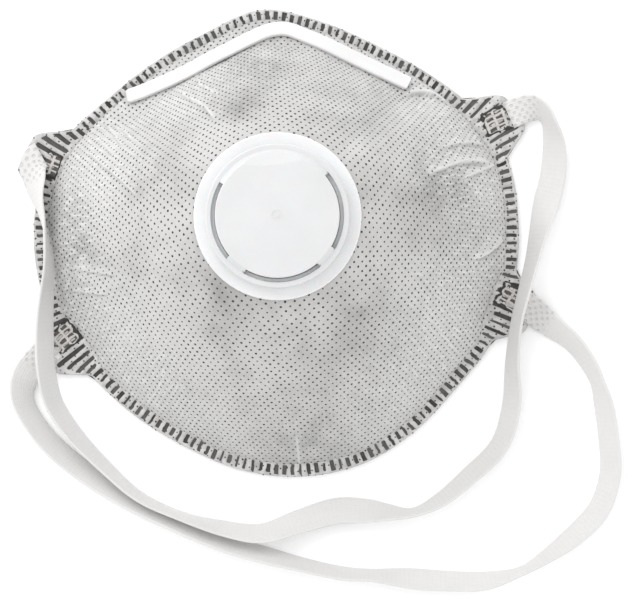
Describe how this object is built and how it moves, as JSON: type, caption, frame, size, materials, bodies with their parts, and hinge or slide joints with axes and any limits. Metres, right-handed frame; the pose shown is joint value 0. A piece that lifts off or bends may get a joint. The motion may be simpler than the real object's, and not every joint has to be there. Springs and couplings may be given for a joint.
{
  "type": "disposable dust mask",
  "caption": "Moulded cup dust mask with a round exhalation valve, a bendable nose clip and elastic headbands, lying rim down.",
  "frame": {"origin": "on the rim plane, under the middle of the cup", "axes": "+Z out of the front through the valve, +Y towards the nose, +X towards the wearer's left"},
  "size_m": [0.1601, 0.159, 0.0523],
  "materials": {
    "cover": "matt nonwoven with a lattice of grey bond dots",
    "carbon_felt": "matt felt",
    "filter_web": "matt fine web",
    "shell_felt": "matt stiff felt",
    "lining": "soft nonwoven",
    "foam": "open soft foam",
    "clip_plastic": "satin",
    "core_metal": "plain",
    "elastic": "ribbed flat elastic",
    "weld": "pressed and fused with a waffle pattern",
    "valve_plastic": "satin moulded",
    "silicone": "smooth silicone"
  },
  "bodies": {
    "mask": {"outer_cover": "cover", "carbon_layer": "carbon_felt", "filter_layer": "filter_web", "support_shell": "shell_felt", "inner_lining": "lining", "nose_foam": "foam", "nose_clip": "clip_plastic", "nose_clip_core": "core_metal", "headband_upper": "elastic", "headband_lower": "elastic", "weld_upper_left": "weld", "weld_upper_right": "weld", "weld_lower_left": "weld", "weld_lower_right": "weld", "valve_seat": "valve_plastic", "valve_cover": "valve_plastic", "flap_root": "silicone"},
    "flap": {"valve_flap": "silicone"}
  },
  "joints": [
    {"name": "flap_hinge", "type": "hinge", "parent": "mask", "child": "flap", "pos_m": [0, 0.015, 0.04704], "axis": [-1, 0, 0], "range_deg": [0, 7], "stiffness_Nm_per_rad": 0.002}
  ]
}
